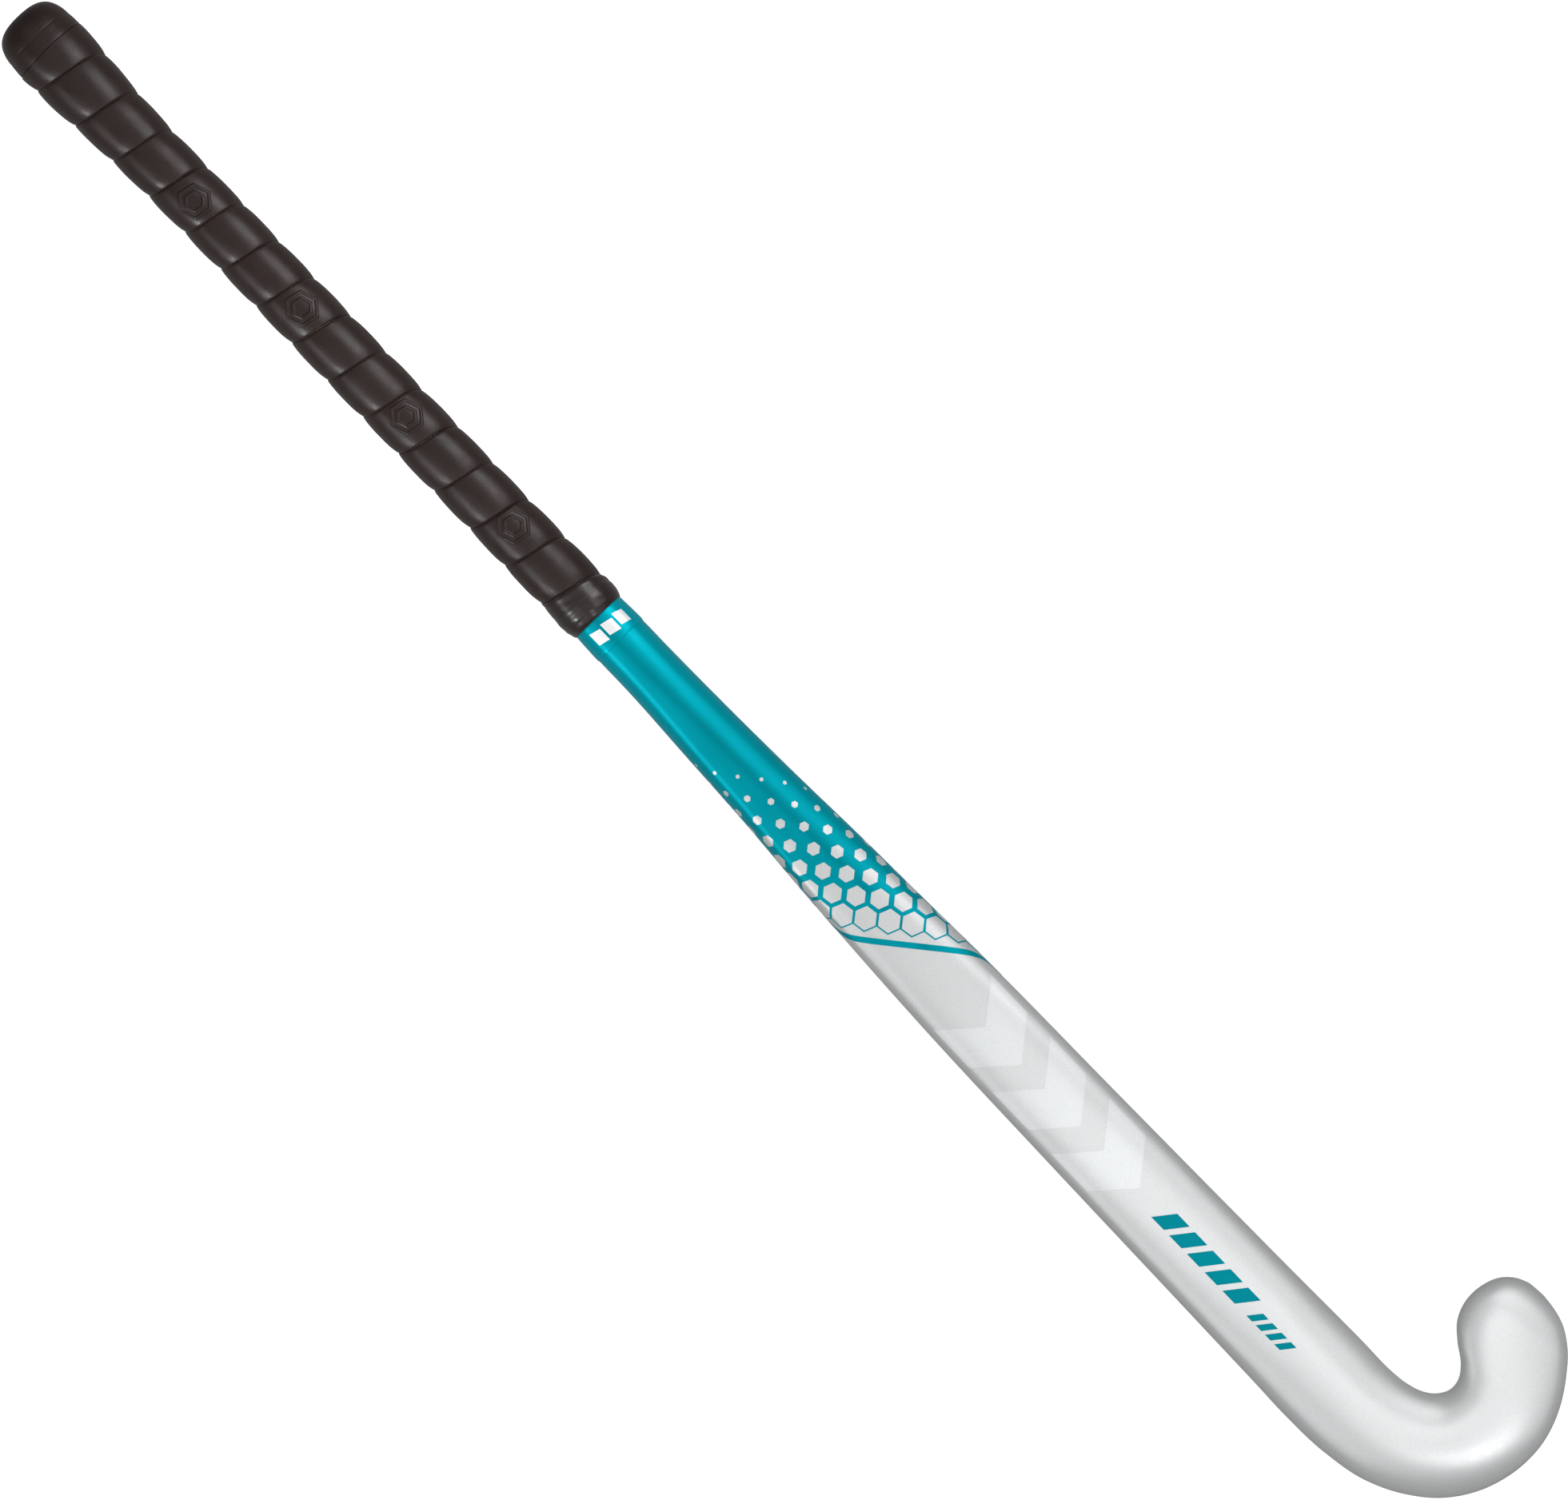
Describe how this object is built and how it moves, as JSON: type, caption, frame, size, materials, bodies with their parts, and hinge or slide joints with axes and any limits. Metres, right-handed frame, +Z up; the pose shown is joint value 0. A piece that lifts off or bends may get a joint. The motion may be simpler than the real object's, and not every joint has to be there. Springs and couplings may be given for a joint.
{
  "type": "field hockey stick",
  "caption": "Composite field hockey stick: cushioned spiral grip, flared butt, bowed hollow shaft and hooked head with a flat playing face.",
  "frame": {"origin": "middle of the stick's footprint, on the surface it lies on, face down", "axes": "+X along the stick from the butt to the head, +Y to the side that the head hooks towards, +Z up through the rounded back, so the flat playing face points down"},
  "size_m": [0.9272, 0.1207, 0.0464],
  "materials": {
    "pearl_laminate": "pearl white lacquer over carbon and glass laminate",
    "bare_laminate": "bare carbon and aramid laminate",
    "tube_film": "translucent nylon moulding tube",
    "rigid_foam": "closed-cell polyurethane foam",
    "handle_foam": "dense polyurethane foam",
    "cap_rubber": "moulded soft rubber, satin",
    "adhesive_tape": "double-sided tape",
    "grip_cushion": "cushioned polyurethane grip, satin with fine grain",
    "finishing_tape": "stretched vinyl tape, glossy",
    "teal_band": "moulded band, glossy",
    "teal_film": "printed film under clear lacquer"
  },
  "bodies": {
    "root": {"shell_laminate": "pearl_laminate", "chamber_tube_left": "tube_film", "chamber_tube_right": "tube_film", "centre_web": "bare_laminate", "face_ply": "bare_laminate", "head_core": "rigid_foam", "butt_plug": "rigid_foam", "handle_foam": "handle_foam", "butt_cap": "cap_rubber", "grip_tape": "adhesive_tape", "grip_wrap": "grip_cushion", "grip_end_tape": "finishing_tape", "collar_band": "teal_band", "shaft_film": "teal_film", "stripe_band": "teal_film"}
  },
  "joints": []
}
